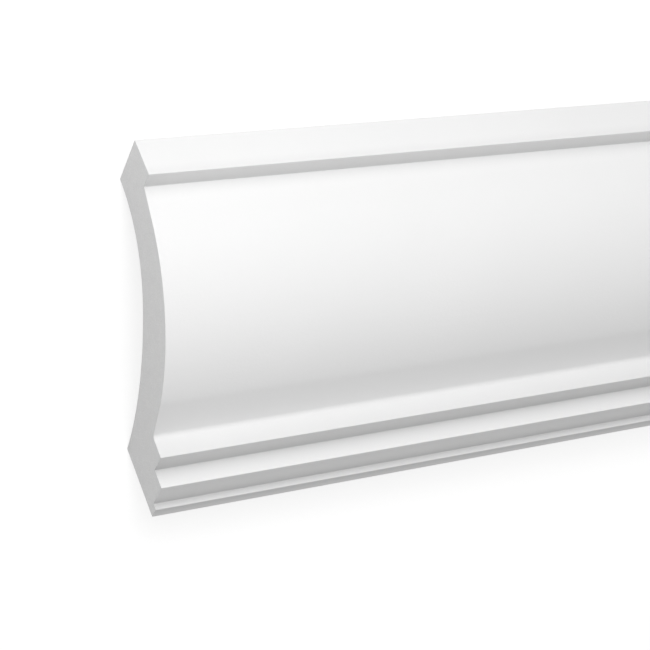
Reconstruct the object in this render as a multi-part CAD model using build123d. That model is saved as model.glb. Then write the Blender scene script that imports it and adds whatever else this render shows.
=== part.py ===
from build123d import *
import os

# A length of cornice moulding, moulded in one piece, lying on its hollow back.
# X runs along the stock, Y from the wall edge to the ceiling edge, Z up to the show face.

# Driving dimensions in millimetres, and two angles in degrees, named as the moulding is put up.
LENGTH = 2000.0          # stock length between the two square cut ends
PROJECTION = 100.0       # from the wall out to the front of the fascia
DROP = 100.0             # from the ceiling down to the underside of the toe
CEILING_BED = 22.2       # flat that is glued to the ceiling
WALL_BED = 30.5          # flat that is glued to the wall
FASCIA_HEIGHT = 16.2     # upright face next to the ceiling
FASCIA_RETURN = 6.9      # ledge under the fascia, back to the show face
LEAD_LENGTH = 12.3       # straight start of the show face below the ledge
LEAD_LEAN = 18.25        # degrees that the straight start leans back from upright
FLAT_WIDTH = 17.0        # flat below the ovolo, down to the valley
FLAT_FALL = 14.6         # degrees that this flat falls towards the wall
CREASE_RADIUS = 25.0     # eased line between the ovolo and the flat
VALLEY_RADIUS = 3.4      # inner corner between the flat and the upper band
UPPER_BAND = 9.1         # upright face below the valley
UPPER_STEP = 8.8         # underside between the upper and the lower band
LOWER_BAND = 7.8         # upright face of the lower band
LOWER_STEP = 11.5        # underside between the lower band and the toe
TOE_HEIGHT = 2.65        # upright face of the toe
TOE_THICKNESS = 5.3      # underside of the toe, out from the wall
HOLLOW_DEPTH = 18.6      # depth of the hollow back below the line of the two back edges
HOLLOW_APEX = 61.9       # from the wall bed's back edge to the deepest line of the hollow

NODE = "cornice_moulding"


def stepped_foot():
    """Corners of the foot, from the wall out and up to the valley below the show face."""
    toe_underside = DROP
    lower_underside = toe_underside - TOE_HEIGHT
    upper_underside = lower_underside - LOWER_BAND
    lower_face = TOE_THICKNESS + LOWER_STEP
    upper_face = lower_face + UPPER_STEP
    return [
        Vector(0, toe_underside),
        Vector(TOE_THICKNESS, toe_underside),
        Vector(TOE_THICKNESS, lower_underside),
        Vector(lower_face, lower_underside),
        Vector(lower_face, upper_underside),
        Vector(upper_face, upper_underside),
        Vector(upper_face, upper_underside - UPPER_BAND),
    ]


def fascia():
    """Corners of the fascia, from the inside of the ledge out and back to the ceiling."""
    return [
        Vector(PROJECTION - FASCIA_RETURN, FASCIA_HEIGHT),
        Vector(PROJECTION, FASCIA_HEIGHT),
        Vector(PROJECTION, 0),
    ]


def show_face(ledge, valley):
    """Straight lead below the ledge, an ovolo tangent to it, and the flat down to the valley."""
    downward = Vector(0, 1).rotate(Axis.Z, LEAD_LEAN)
    outward = Vector(1, 0).rotate(Axis.Z, -FLAT_FALL)
    spring = ledge + downward * LEAD_LENGTH
    crease = valley + outward * FLAT_WIDTH
    lead = Line(ledge, spring)
    ovolo = TangentArc(spring, crease, tangent=downward)
    flat = Line(crease, valley)
    return [lead, ovolo, flat], crease


def hollow_back(ceiling_edge, wall_edge):
    """Two arcs that meet tangent to each other along the deepest line of the hollow."""
    across = (ceiling_edge - wall_edge).normalized()
    inward = across.rotate(Axis.Z, 90)
    apex = wall_edge + across * HOLLOW_APEX + inward * HOLLOW_DEPTH
    ceiling_side = TangentArc(apex, ceiling_edge, tangent=across)
    wall_side = TangentArc(apex, wall_edge, tangent=-across)
    return [ceiling_side, wall_side]


def ease(face, corner, radius):
    """Rounds the one corner of the section that lies nearest to a point."""
    return fillet(face.vertices().sort_by_distance(corner)[0], radius)


def section(ceiling_edge, wall_edge):
    """Cut end as put up: x out from the wall along the ceiling, y down from the ceiling."""
    foot = stepped_foot()
    top = fascia()
    valley = foot[-1]
    face_lines, crease = show_face(top[0], valley)
    outline = [
        Polyline(wall_edge, *foot),
        *face_lines,
        Polyline(*top, ceiling_edge),
        *hollow_back(ceiling_edge, wall_edge),
    ]
    sharp = make_face(outline)
    return ease(ease(sharp, crease, CREASE_RADIUS), valley, VALLEY_RADIUS)


def cornice_moulding():
    """The section laid down on its two back edges, run along X and centred on the origin."""
    ceiling_edge = Vector(PROJECTION - CEILING_BED, 0)
    wall_edge = Vector(0, DROP - WALL_BED)
    back = Plane(origin=wall_edge, x_dir=ceiling_edge - wall_edge, z_dir=(0, 0, 1))
    laid = Plane.YZ * back.to_local_coords(section(ceiling_edge, wall_edge))
    stock = extrude(laid, LENGTH / 2, both=True)
    return Pos(Y=-stock.bounding_box().center().Y) * stock


moulding = cornice_moulding()
moulding.label = NODE
os.makedirs("parts", exist_ok=True)
export_step(moulding, f"parts/{NODE}.step")
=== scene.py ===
import math

import bmesh
import bpy
import numpy as np
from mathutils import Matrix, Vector


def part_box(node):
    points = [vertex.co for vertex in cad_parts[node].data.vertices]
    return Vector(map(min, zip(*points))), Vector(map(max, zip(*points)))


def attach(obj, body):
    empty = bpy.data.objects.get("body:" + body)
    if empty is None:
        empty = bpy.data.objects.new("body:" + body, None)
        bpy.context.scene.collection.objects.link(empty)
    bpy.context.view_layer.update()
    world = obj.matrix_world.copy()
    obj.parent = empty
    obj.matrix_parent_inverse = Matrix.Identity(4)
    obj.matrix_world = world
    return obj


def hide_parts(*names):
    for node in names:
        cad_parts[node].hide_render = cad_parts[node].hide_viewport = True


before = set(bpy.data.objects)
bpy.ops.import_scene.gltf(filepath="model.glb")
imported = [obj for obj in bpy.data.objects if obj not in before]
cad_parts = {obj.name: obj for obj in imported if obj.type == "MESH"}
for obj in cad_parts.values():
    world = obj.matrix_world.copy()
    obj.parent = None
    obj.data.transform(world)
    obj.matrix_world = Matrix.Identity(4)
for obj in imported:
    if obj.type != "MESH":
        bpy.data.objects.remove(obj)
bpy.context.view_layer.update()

# The stock's node and body, and its place as packed
NODE = "cornice_moulding"
BODY = "root"
stock_low, stock_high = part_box(NODE)

# Section sizes in metres, named as the moulding is put up: out from the wall, down from the ceiling
PROJECTION = 0.1000
DROP = 0.1000
CEILING_BED = 0.0222
WALL_BED = 0.0305
FASCIA_HEIGHT = 0.0162
FASCIA_RETURN = 0.0069
LEAD_LENGTH = 0.0123
LEAD_LEAN = math.radians(18.25)
FLAT_WIDTH = 0.0170
FLAT_FALL = math.radians(14.6)
CREASE_RADIUS = 0.0250
VALLEY_RADIUS = 0.0022  # a little tighter than the solid's corner, as the photograph's shading shows
UPPER_BAND = 0.0091
UPPER_STEP = 0.0088
LOWER_BAND = 0.0078
LOWER_STEP = 0.0115
TOE_HEIGHT = 0.00265
TOE_THICKNESS = 0.0053
HOLLOW_DEPTH = 0.0186
HOLLOW_APEX = 0.0619

# Small radii of the moulded arrises and of the sawn ends' edges, in metres
ARRIS = 0.00030
INNER_ARRIS = 0.00035
SAWN_ARRIS = 0.00015

# How finely the surface is divided: points of each arc, distances in metres, shares of the thickness
ARRIS_POINTS = 7
CREASE_POINTS = 7
VALLEY_POINTS = 13
OVOLO_POINTS = 61
OVOLO_TRIM = 2             # ovolo points that the eased crease takes the place of
HOLLOW_POINTS = 31
SUPPORT = 0.0004           # from an arc's end to the extra point on the flat beside it
LONGEST_STEP = 0.002       # along the outline
LEAST_STATION = 0.000008   # between two places across the width
BAY_LENGTH = 0.05          # along the stock
SAWN_EDGE_POINTS = 4
END_SHARES = (0.0, 0.35, 0.7, 0.96)  # rows of the cut end, from its middle line out
MERGE_DISTANCE = 0.000001

# Camera, fitted to the photograph's straight edges: metres, degrees, millimetres for lens and sensor
CAMERA_PLACE = (-1.2518, 0.1678, 0.6116)
CAMERA_TURN = (-14.486, -28.916, 0.116)
CAMERA_LENS = 100.0
CAMERA_SENSOR = 36.0
CAMERA_REACH = 100.0


def unit(vector):
    """A vector of length one in the same direction."""
    return vector / np.hypot(*vector)


def arc(start, tangent, end, count):
    """Circular arc that leaves start along a unit tangent and runs to end.

    Its signed radius is chord squared over twice the chord's part along the normal, and its
    sweep is twice the angle from tangent to chord; the arm from the centre turns evenly.
    """
    normal = np.array([-tangent[1], tangent[0]])
    chord = end - start
    rise = chord @ normal
    radius = chord @ chord / (2 * rise)
    sweep = 2 * math.atan2(rise, chord @ tangent)
    angle = np.linspace(0, sweep, count)[:, None]
    arm = -normal * radius
    across = np.array([-arm[1], arm[0]])
    return start - arm + arm * np.cos(angle) + across * np.sin(angle)


def eased(before, corner, after, radius, count):
    """Corner rounded by an arc that touches both sides, with a support point beyond each end.

    The arc starts at radius over the tangent of half the corner's angle from the corner.
    """
    back = unit(before - corner)
    ahead = unit(after - corner)
    half = math.acos(np.clip(back @ ahead, -1, 1)) / 2
    leg = radius / math.tan(half)
    turned = arc(corner + back * leg, -back, corner + ahead * leg, count)
    return np.vstack([turned[:1] + back * SUPPORT, turned, turned[-1:] + ahead * SUPPORT])


def section_corners():
    """Named corners of the section as put up, each as (out from the wall, down from the ceiling)."""
    lower_under = DROP - TOE_HEIGHT
    upper_under = lower_under - LOWER_BAND
    lower_face = TOE_THICKNESS + LOWER_STEP
    upper_face = lower_face + UPPER_STEP
    valley = np.array([upper_face, upper_under - UPPER_BAND])
    ledge = np.array([PROJECTION - FASCIA_RETURN, FASCIA_HEIGHT])
    downward = np.array([-math.sin(LEAD_LEAN), math.cos(LEAD_LEAN)])
    outward = np.array([math.cos(FLAT_FALL), -math.sin(FLAT_FALL)])
    return {
        "wall_edge": np.array([0, DROP - WALL_BED]),
        "toe_back": np.array([0, DROP]),
        "toe_front": np.array([TOE_THICKNESS, DROP]),
        "toe_inside": np.array([TOE_THICKNESS, lower_under]),
        "lower_arris": np.array([lower_face, lower_under]),
        "lower_inside": np.array([lower_face, upper_under]),
        "upper_arris": np.array([upper_face, upper_under]),
        "valley": valley,
        "crease": valley + outward * FLAT_WIDTH,
        "spring": ledge + downward * LEAD_LENGTH,
        "ledge_inside": ledge,
        "fascia_arris": np.array([PROJECTION, FASCIA_HEIGHT]),
        "fascia_top": np.array([PROJECTION, 0]),
        "ceiling_edge": np.array([PROJECTION - CEILING_BED, 0]),
    }


def lying_axes(at):
    """Unit directions from the wall's back edge to the ceiling's, and from their line into the stock."""
    across = unit(at["ceiling_edge"] - at["wall_edge"])
    inward = np.array([-across[1], across[0]])
    return across, inward


def section_outline():
    """Closed outline of the section: eased corners joined by flats, the ovolo and the two hollow arcs."""
    at = section_corners()
    downward = unit(at["spring"] - at["ledge_inside"])
    ovolo = arc(at["spring"], downward, at["crease"], OVOLO_POINTS)[::-1]
    across, inward = lying_axes(at)
    apex = at["wall_edge"] + across * HOLLOW_APEX + inward * HOLLOW_DEPTH
    ceiling_side = arc(apex, across, at["ceiling_edge"], HOLLOW_POINTS)[::-1]
    wall_side = arc(apex, -across, at["wall_edge"], HOLLOW_POINTS)
    at["ovolo_start"] = ovolo[OVOLO_TRIM]
    at["hollow_start"] = ceiling_side[1]
    at["hollow_end"] = wall_side[-2]

    def corner(before, name, after, radius=ARRIS, count=ARRIS_POINTS):
        return eased(at[before], at[name], at[after], radius, count)

    return np.vstack([
        corner("wall_edge", "toe_back", "toe_front"),
        corner("toe_back", "toe_front", "toe_inside"),
        corner("toe_front", "toe_inside", "lower_arris", INNER_ARRIS),
        corner("toe_inside", "lower_arris", "lower_inside"),
        corner("lower_arris", "lower_inside", "upper_arris", INNER_ARRIS),
        corner("lower_inside", "upper_arris", "valley"),
        corner("upper_arris", "valley", "crease", VALLEY_RADIUS, VALLEY_POINTS),
        corner("valley", "crease", "ovolo_start", CREASE_RADIUS, CREASE_POINTS),
        ovolo[OVOLO_TRIM:],
        corner("spring", "ledge_inside", "fascia_arris", INNER_ARRIS),
        corner("ledge_inside", "fascia_arris", "fascia_top"),
        corner("fascia_arris", "fascia_top", "ceiling_edge"),
        corner("fascia_top", "ceiling_edge", "hollow_start"),
        ceiling_side[1:],
        wall_side[1:-1],
        corner("hollow_end", "wall_edge", "toe_back"),
    ])


def stepped(outline):
    """The closed outline with even steps added, so that no flat is left as one long span."""
    ring = np.vstack([outline, outline[:1]])
    length = np.append(0, np.cumsum(np.hypot(*np.diff(ring, axis=0).T)))
    places = np.union1d(length, np.arange(0, length[-1], LONGEST_STEP))[:-1]
    out = np.interp(places, length, ring[:, 0])
    down = np.interp(places, length, ring[:, 1])
    return np.column_stack([out, down])


def lying_turn():
    """Angle from level of the direction out from the wall, once the stock lies on its back edges."""
    across, inward = lying_axes(section_corners())
    return math.atan2(inward[0], across[0])


def laid_down(points):
    """Section points turned so that the two back edges lie level, centred in width on the origin."""
    at = section_corners()
    across, inward = lying_axes(at)
    turn = np.column_stack([across, inward])
    ends = np.array([at["toe_back"], at["fascia_top"]]) - at["wall_edge"]
    middle = (ends @ across).mean()
    return (points - at["wall_edge"]) @ turn - (middle, 0)


def paired_loop():
    """The laid-down outline as one closed loop: the show side from toe to top, then the back side home.

    Both sides are read at the same places across the width, so that each point of the show side
    has a partner straight below it on the back.
    """
    outline = laid_down(stepped(section_outline()))
    outline = np.roll(outline, -outline[:, 0].argmin(), axis=0)
    top = outline[:, 0].argmax()
    show = outline[:top + 1]
    back = np.vstack([outline[top:], outline[:1]])[::-1]
    across = np.union1d(show[:, 0], back[:, 0])
    across = across[np.append(np.diff(across) > LEAST_STATION, True)]
    show_height = np.interp(across, show[:, 0], show[:, 1])
    back_height = np.interp(across, back[:, 0], back[:, 1])
    show_side = np.column_stack([across, show_height])
    back_side = np.column_stack([across, back_height])[::-1]
    return np.vstack([show_side, back_side[1:-1]]), len(across)


def run_of_stock(low, high):
    """Rows along the stock as three arrays: place along X, inset of the outline, share of the thickness.

    At each end the outline is drawn out of the middle line of the cut, turns round the sawn edge
    on a quarter circle, and then runs straight in even bays.
    """
    quarter = np.linspace(0, math.pi / 2, SAWN_EDGE_POINTS)
    edge_place = SAWN_ARRIS * (1 - np.cos(quarter))
    edge_inset = SAWN_ARRIS * (1 - np.sin(quarter))
    shares = np.array(END_SHARES)
    bays = round((high - low) / BAY_LENGTH)
    straight = np.linspace(low + SAWN_ARRIS, high - SAWN_ARRIS, bays + 1)[1:-1]
    near_place = np.concatenate([np.full(len(shares), low), low + edge_place])
    near_inset = np.concatenate([np.full(len(shares), SAWN_ARRIS), edge_inset])
    near_share = np.concatenate([shares, np.ones(len(edge_place))])
    place = np.concatenate([near_place, straight, low + high - near_place[::-1]])
    inset = np.concatenate([near_inset, np.zeros(len(straight)), near_inset[::-1]])
    share = np.concatenate([near_share, np.ones(len(straight)), near_share[::-1]])
    return place, inset, share


def moulding_grid():
    """Grid of points of the whole stock: the section loop carried along X.

    A point is (place, middle + share x (loop + inset x inward normal - middle)), where middle is
    halfway between a loop point and its partner on the other side. The depth below the skin is
    half the distance between the partners, less its share.
    """
    loop, width = paired_loop()
    place, inset, share = run_of_stock(stock_low.x, stock_high.x)
    along = np.roll(loop, -1, axis=0) - np.roll(loop, 1, axis=0)
    inward = np.column_stack([along[:, 1], -along[:, 0]])
    inward /= np.hypot(*inward.T)[:, None]
    partner = -np.arange(len(loop)) % len(loop)
    drawn = loop + inset[:, None, None] * inward
    middle = (drawn + drawn[:, partner]) / 2
    drawn = middle + share[:, None, None] * (drawn - middle)
    depth = np.hypot(*(loop - loop[partner]).T) / 2 * (1 - share[:, None])
    along_stock = np.broadcast_to(place[:, None, None], drawn.shape[:2] + (1,))
    points = np.concatenate([along_stock, drawn], axis=2)
    return points, depth, share, width


def shell_mesh(name, points, finish):
    """Mesh of quads between neighbouring rows and columns of a grid whose columns close on themselves."""
    rows, columns = points.shape[:2]
    index = np.arange(rows * columns).reshape(rows, columns)
    ahead = np.roll(index, -1, axis=1)
    quads = np.stack([index[:-1], ahead[:-1], ahead[1:], index[1:]], axis=2).reshape(-1, 4)
    mesh = bpy.data.meshes.new(name)
    mesh.from_pydata(points.reshape(-1, 3).tolist(), [], quads.tolist())
    mesh.polygons.foreach_set("material_index", finish.ravel().astype(np.int32))
    return mesh


def close_seams(mesh):
    """Merges the points that meet on the ends' middle lines and turns every face outwards."""
    work = bmesh.new()
    work.from_mesh(mesh)
    bmesh.ops.remove_doubles(work, verts=work.verts, dist=MERGE_DISTANCE)
    bmesh.ops.recalc_face_normals(work, faces=work.faces)
    work.to_mesh(mesh)
    work.free()
    mesh.polygons.foreach_set("use_smooth", np.ones(len(mesh.polygons), dtype=bool))


# Order of the moulding's finishes
SHOW, BACK, SAWN = 0, 1, 2


def make_moulding(finishes):
    """The stock, with its show side, its back and its two sawn ends each in their own finish."""
    points, depth, share, width = moulding_grid()
    rows, columns = points.shape[:2]
    finish = np.where(np.arange(columns) < width - 1, SHOW, BACK)
    finish = np.broadcast_to(finish, (rows - 1, columns)).copy()
    finish[np.minimum(share[:-1], share[1:]) < 1] = SAWN
    mesh = shell_mesh("cornice_length", points, finish)
    skin_depth = mesh.attributes.new("skin_depth", "FLOAT", "POINT")
    skin_depth.data.foreach_set("value", depth.ravel().astype(np.float32))
    close_seams(mesh)
    for material in finishes:
        mesh.materials.append(material)
    moulding = bpy.data.objects.new("cornice_length", mesh)
    bpy.context.scene.collection.objects.link(moulding)
    return moulding


def add_node(tree, kind, inputs=None, **settings):
    """New node with its settings, each input either linked from a socket or set to a value."""
    node = tree.nodes.new(kind)
    for name, value in settings.items():
        setattr(node, name, value)
    for name, value in (inputs or {}).items():
        if isinstance(value, bpy.types.NodeSocket):
            tree.links.new(value, node.inputs[name])
        else:
            node.inputs[name].default_value = value
    return node


def worked_out(tree, operation, *terms):
    """Output of a Math node over sockets and numbers."""
    return add_node(tree, "ShaderNodeMath", dict(enumerate(terms)), operation=operation).outputs[0]


def scaled(tree, colour, tone):
    """A colour times a tone."""
    node = add_node(tree, "ShaderNodeVectorMath", {0: colour, "Scale": tone}, operation="SCALE")
    return node.outputs["Vector"]


def new_group(name, inputs, outputs):
    """Empty shader node group with named sockets, and its own input and output ends."""
    group = bpy.data.node_groups.new(name, "ShaderNodeTree")
    for label, kind in inputs.items():
        group.interface.new_socket(label, in_out="INPUT", socket_type=kind)
    for label, kind in outputs.items():
        group.interface.new_socket(label, in_out="OUTPUT", socket_type=kind)
    given = group.nodes.new("NodeGroupInput").outputs
    result = group.nodes.new("NodeGroupOutput").inputs
    return group, given, result


def use_group(tree, group, inputs):
    """Places a node group in a material with that material's own values."""
    return add_node(tree, "ShaderNodeGroup", inputs, node_tree=group).outputs


# Kinds of socket, fineness of the shared effects' noise, and what drops the place along the stock
NUMBER = "NodeSocketFloat"
COLOUR = "NodeSocketColor"
VECTOR = "NodeSocketVector"
MOTTLE_NOISE = {"Detail": 4.0, "Roughness": 0.6}
STIPPLE_NOISE = {"Detail": 2.0, "Roughness": 0.5}
ACROSS_STOCK = (0.0, 1.0, 1.0)


def make_soft_mottle():
    """Slow cloudy change of tone and gloss: colour x (1 + swing x noise), gloss + swing x noise."""
    group, given, result = new_group(
        "soft_mottle",
        {"Place": VECTOR, "Colour": COLOUR, "Patch": NUMBER, "Swing": NUMBER,
         "Roughness": NUMBER, "Roughness Swing": NUMBER},
        {"Colour": COLOUR, "Roughness": NUMBER},
    )
    scale = worked_out(group, "DIVIDE", 1.0, given["Patch"])
    cloud = add_node(group, "ShaderNodeTexNoise",
                     {"Vector": given["Place"], "Scale": scale, **MOTTLE_NOISE})
    signed = worked_out(group, "MULTIPLY_ADD", cloud.outputs["Fac"], 2.0, -1.0)
    tone = worked_out(group, "MULTIPLY_ADD", signed, given["Swing"], 1.0)
    gloss = worked_out(group, "MULTIPLY_ADD", signed, given["Roughness Swing"], given["Roughness"])
    group.links.new(scaled(group, given["Colour"], tone), result["Colour"])
    group.links.new(gloss, result["Roughness"])
    return group


def make_fine_stipple():
    """Fine unevenness of a surface: noise of a given grain, drawn out along the stock, times its depth."""
    group, given, result = new_group(
        "fine_stipple",
        {"Place": VECTOR, "Grain": NUMBER, "Drag": NUMBER, "Depth": NUMBER},
        {"Height": NUMBER},
    )
    shorter = worked_out(group, "DIVIDE", 1.0, given["Drag"])
    stretch = add_node(group, "ShaderNodeCombineXYZ", {"X": shorter, "Y": 1.0, "Z": 1.0})
    drawn = add_node(group, "ShaderNodeVectorMath",
                     {0: given["Place"], 1: stretch.outputs["Vector"]}, operation="MULTIPLY")
    scale = worked_out(group, "DIVIDE", 1.0, given["Grain"])
    noise = add_node(group, "ShaderNodeTexNoise",
                     {"Vector": drawn.outputs["Vector"], "Scale": scale, **STIPPLE_NOISE})
    height = worked_out(group, "MULTIPLY", noise.outputs["Fac"], given["Depth"])
    group.links.new(height, result["Height"])
    return group


def make_painted_corner_shade():
    """Painted shade along an inner corner: colour x (1 - loss x mask).

    The mask is (1 - distance) squared, with the distance from the corner counted in reaches: one
    reach along the underside and another along the upright face.
    """
    group, given, result = new_group(
        "painted_corner_shade",
        {"Place": VECTOR, "Colour": COLOUR, "Corner": VECTOR, "Reach": VECTOR, "Loss": NUMBER},
        {"Colour": COLOUR},
    )
    across = add_node(group, "ShaderNodeVectorMath",
                      {0: given["Place"], 1: ACROSS_STOCK}, operation="MULTIPLY").outputs["Vector"]
    turn = (lying_turn(), 0.0, 0.0)
    counted = add_node(group, "ShaderNodeMapping",
                       {"Vector": across, "Location": given["Corner"], "Rotation": turn,
                        "Scale": given["Reach"]},
                       vector_type="TEXTURE").outputs["Vector"]
    away = add_node(group, "ShaderNodeVectorMath", {0: counted}, operation="LENGTH").outputs["Value"]
    near = add_node(group, "ShaderNodeMapRange",
                    {"Value": away, "To Min": 1.0, "To Max": 0.0}).outputs["Result"]
    mask = worked_out(group, "MULTIPLY", near, near)
    lost = worked_out(group, "MULTIPLY", mask, given["Loss"])
    tone = worked_out(group, "SUBTRACT", 1.0, lost)
    group.links.new(scaled(group, given["Colour"], tone), result["Colour"])
    return group


def new_finish(name, specular):
    """New material, its node tree, its shader and the piece's own coordinates."""
    material = bpy.data.materials.new(name)
    material.use_nodes = True
    tree = material.node_tree
    shader = tree.nodes["Principled BSDF"]
    shader.inputs["Specular IOR Level"].default_value = specular
    place = add_node(tree, "ShaderNodeTexCoord").outputs["Object"]
    return material, tree, shader, place


def raise_surface(tree, shader, height):
    """Height in metres on the surface, as bump."""
    bump = add_node(tree, "ShaderNodeBump", {"Height": height, "Distance": 1.0})
    tree.links.new(bump.outputs["Normal"], shader.inputs["Normal"])


# Primer of the show side: its clouding, its stipple and its run lines, in metres
PRIMER_SPECULAR = 0.35
PRIMER = {"Colour": (0.82, 0.82, 0.82, 1), "Patch": 0.06, "Swing": 0.02,
          "Roughness": 0.60, "Roughness Swing": 0.12}
PRIMER_STIPPLE = {"Grain": 0.0008, "Drag": 1.5, "Depth": 0.000035}
PRIMER_RUN_LINES = {"Grain": 0.0012, "Drag": 60.0, "Depth": 0.000020}

# Inner corners of the show side, darkened by painted shade: its reach along the underside and the face,
# and its loss
INNER_CORNERS = (
    ("ledge_inside", 0.013, 0.006, 0.20),
    ("valley", 0.003, 0.030, 0.08),
    ("lower_inside", 0.014, 0.009, 0.33),
    ("toe_inside", 0.0065, 0.010, 0.33),
)


def primed_face(mottle, stipple, painted_corner_shade):
    """Sprayed primer of the show side: matte white, faintly clouded, darker in the inner corners by
    painted shade.
    """
    material, tree, shader, place = new_finish("primed_face", PRIMER_SPECULAR)
    clouded = use_group(tree, mottle, {"Place": place, **PRIMER})
    colour = clouded["Colour"]
    at = section_corners()
    # Painted shade: the colour is darkened towards each inner corner, where shade falls.
    for name, under_reach, face_reach, loss in INNER_CORNERS:
        corner = (0.0, *laid_down(at[name]))
        colour = use_group(tree, painted_corner_shade, {
            "Place": place, "Colour": colour, "Corner": corner,
            "Reach": (1.0, under_reach, face_reach), "Loss": loss})["Colour"]
    tree.links.new(colour, shader.inputs["Base Color"])
    tree.links.new(clouded["Roughness"], shader.inputs["Roughness"])
    grain = use_group(tree, stipple, {"Place": place, **PRIMER_STIPPLE})
    run_lines = use_group(tree, stipple, {"Place": place, **PRIMER_RUN_LINES})
    raise_surface(tree, shader, worked_out(tree, "ADD", grain["Height"], run_lines["Height"]))
    return material


# Moulded skin of the back: its clouding, its orange peel and its run lines, in metres
BACK_SPECULAR = 0.30
BACK_SKIN = {"Colour": (0.78, 0.775, 0.76, 1), "Patch": 0.03, "Swing": 0.07,
             "Roughness": 0.70, "Roughness Swing": 0.15}
BACK_PEEL = {"Grain": 0.0025, "Drag": 1.4, "Depth": 0.00012}
BACK_RUN_LINES = {"Grain": 0.0016, "Drag": 80.0, "Depth": 0.00006}


def moulded_back(mottle, stipple):
    """Bare moulded skin of the back and the two beds: duller, with run lines and an orange peel."""
    material, tree, shader, place = new_finish("moulded_back", BACK_SPECULAR)
    clouded = use_group(tree, mottle, {"Place": place, **BACK_SKIN})
    tree.links.new(clouded["Colour"], shader.inputs["Base Color"])
    tree.links.new(clouded["Roughness"], shader.inputs["Roughness"])
    peel = use_group(tree, stipple, {"Place": place, **BACK_PEEL})
    run_lines = use_group(tree, stipple, {"Place": place, **BACK_RUN_LINES})
    raise_surface(tree, shader, worked_out(tree, "ADD", peel["Height"], run_lines["Height"]))
    return material


# Foam of the sawn ends: its clouding, its cells, its denser skin and the marks of the saw, in metres
SAWN_SPECULAR = 0.25
SAWN_FOAM = {"Colour": (0.86, 0.86, 0.858, 1), "Patch": 0.004, "Swing": 0.05,
             "Roughness": 0.80, "Roughness Swing": 0.1}
CELL_SIZE = 0.0006
CELL_DEPTH = 0.00005
CELL_TONE = 0.08
DENSE_TONE = 0.98
SKIN_THICKNESS = 0.0012
SAW_TURN = (math.radians(70.0), 0.0, math.radians(90.0))
SAW_MARKS = {"Grain": 0.0009, "Drag": 40.0, "Depth": 0.00003}


def sawn_end(mottle, stipple):
    """Sawn foam: fine open cells that close up towards the denser skin, and faint marks of the saw."""
    material, tree, shader, place = new_finish("sawn_end", SAWN_SPECULAR)
    inner = add_node(tree, "ShaderNodeAttribute", attribute_name="skin_depth").outputs["Fac"]
    core = add_node(tree, "ShaderNodeMapRange", {"Value": inner, "From Max": SKIN_THICKNESS},
                    interpolation_type="SMOOTHSTEP").outputs["Result"]
    cells = add_node(tree, "ShaderNodeTexVoronoi",
                     {"Vector": place, "Scale": 1 / CELL_SIZE}).outputs["Distance"]
    open_cells = worked_out(tree, "MULTIPLY", cells, core)
    clouded = use_group(tree, mottle, {"Place": place, **SAWN_FOAM})
    tone = worked_out(tree, "MULTIPLY_ADD", open_cells, CELL_TONE, DENSE_TONE)
    tree.links.new(scaled(tree, clouded["Colour"], tone), shader.inputs["Base Color"])
    tree.links.new(clouded["Roughness"], shader.inputs["Roughness"])
    turned = add_node(tree, "ShaderNodeMapping", {"Vector": place, "Rotation": SAW_TURN})
    saw_marks = use_group(tree, stipple, {"Place": turned.outputs["Vector"], **SAW_MARKS})
    pits = worked_out(tree, "MULTIPLY", open_cells, CELL_DEPTH)
    raise_surface(tree, shader, worked_out(tree, "ADD", pits, saw_marks["Height"]))
    return material


def make_finishes():
    """The three finishes in the order of the moulding's slots, from the shared node groups."""
    mottle = make_soft_mottle()
    stipple = make_fine_stipple()
    # Painted shade for the show side's inner corners.
    painted_corner_shade = make_painted_corner_shade()
    return (
        primed_face(mottle, stipple, painted_corner_shade),
        moulded_back(mottle, stipple),
        sawn_end(mottle, stipple),
    )


def looked_at(tree):
    """Mask that is one for rays that show the stage itself: camera, glossy and transmission rays."""
    path = add_node(tree, "ShaderNodeLightPath").outputs
    direct = worked_out(tree, "MAXIMUM", path["Is Camera Ray"], path["Is Glossy Ray"])
    return worked_out(tree, "MAXIMUM", direct, path["Is Transmission Ray"])


# Stage: a white floor that keeps the shadow, and an even white surround
FLOOR_HALF = 20.0
FLOOR_COLOUR = (0.60, 0.60, 0.60, 1)
FLOOR_SHOWN = (0.32, 0.32, 0.32, 1)
FLOOR_GLOW = 0.77
SURROUND = 0.41
WHITE = (1.0, 1.0, 1.0, 1)


def make_floor():
    """Level floor, pale to the light that it returns and white where it is looked at."""
    corners = np.array([(-1, -1, 0), (1, -1, 0), (1, 1, 0), (-1, 1, 0)]) * FLOOR_HALF
    mesh = bpy.data.meshes.new("floor")
    mesh.from_pydata(corners.tolist(), [], [(0, 1, 2, 3)])
    floor = bpy.data.objects.new("floor", mesh)
    bpy.context.scene.collection.objects.link(floor)
    material = bpy.data.materials.new("floor_white")
    material.use_nodes = True
    tree = material.node_tree
    tree.nodes.clear()
    returned = add_node(tree, "ShaderNodeBsdfDiffuse", {"Color": FLOOR_COLOUR}).outputs[0]
    shown = add_node(tree, "ShaderNodeBsdfDiffuse", {"Color": FLOOR_SHOWN}).outputs[0]
    glow = add_node(tree, "ShaderNodeEmission", {"Strength": FLOOR_GLOW}).outputs[0]
    lit = add_node(tree, "ShaderNodeAddShader", {0: shown, 1: glow}).outputs[0]
    choice = add_node(tree, "ShaderNodeMixShader",
                      {"Fac": looked_at(tree), 1: returned, 2: lit}).outputs[0]
    add_node(tree, "ShaderNodeOutputMaterial", {"Surface": choice})
    mesh.materials.append(material)
    return floor


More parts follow.
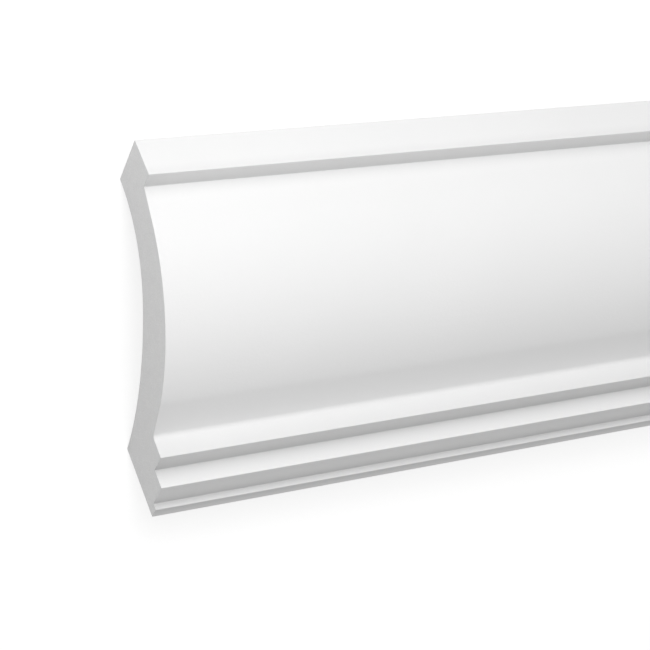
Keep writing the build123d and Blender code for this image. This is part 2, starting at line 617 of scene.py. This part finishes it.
def make_surround():
    """Even surround light, seen as white behind the floor's far edge."""
    world = bpy.data.worlds.new("surround")
    world.use_nodes = True
    tree = world.node_tree
    tree.nodes.clear()
    level = add_node(tree, "ShaderNodeMapRange",
                     {"Value": looked_at(tree), "To Min": SURROUND, "To Max": 1.0})
    sky = add_node(tree, "ShaderNodeBackground", {"Color": WHITE, "Strength": level.outputs["Result"]})
    add_node(tree, "ShaderNodeOutputWorld", {"Surface": sky.outputs[0]})
    bpy.context.scene.world = world


# Soft boxes: name, place, point that it faces, width and height, power in watts
SOFT_BOXES = (
    ("strip_along", (0.0, 0.78, 0.80), (0.0, 0.0, 0.02), (2.8, 0.5), 5.4),
    ("box_near_end", (-1.12, 0.275, 0.50), (-0.98, 0.0, 0.02), (0.4, 0.4), 1.9),
    ("box_middle", (0.20, 0.275, 0.50), (0.20, 0.0, 0.02), (0.6, 0.4), 1.7),
    ("box_far_end", (1.12, 0.275, 0.50), (0.98, 0.0, 0.02), (0.4, 0.4), 1.9),
)


def make_soft_boxes():
    """Area lamps that face a point of the stock."""
    for name, place, target, size, power in SOFT_BOXES:
        lamp = bpy.data.lights.new(name, "AREA")
        lamp.shape = "RECTANGLE"
        lamp.size, lamp.size_y = size
        lamp.energy = power
        holder = bpy.data.objects.new(name, lamp)
        holder.location = place
        aim = Vector(target) - Vector(place)
        holder.rotation_euler = aim.to_track_quat("-Z", "Y").to_euler()
        holder.visible_camera = False
        bpy.context.scene.collection.objects.link(holder)


def make_camera():
    """Camera of the photograph, looking down on the lying stock from beyond its near end."""
    lens = bpy.data.cameras.new("camera")
    lens.lens = CAMERA_LENS
    lens.sensor_width = CAMERA_SENSOR
    lens.clip_end = CAMERA_REACH
    camera = bpy.data.objects.new("camera", lens)
    camera.location = CAMERA_PLACE
    camera.rotation_euler = np.radians(CAMERA_TURN)
    bpy.context.scene.collection.objects.link(camera)
    bpy.context.scene.camera = camera


moulding = make_moulding(make_finishes())
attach(moulding, BODY)
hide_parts(NODE)
make_floor()
make_surround()
make_soft_boxes()
make_camera()
bpy.context.scene.view_settings.view_transform = "Standard"
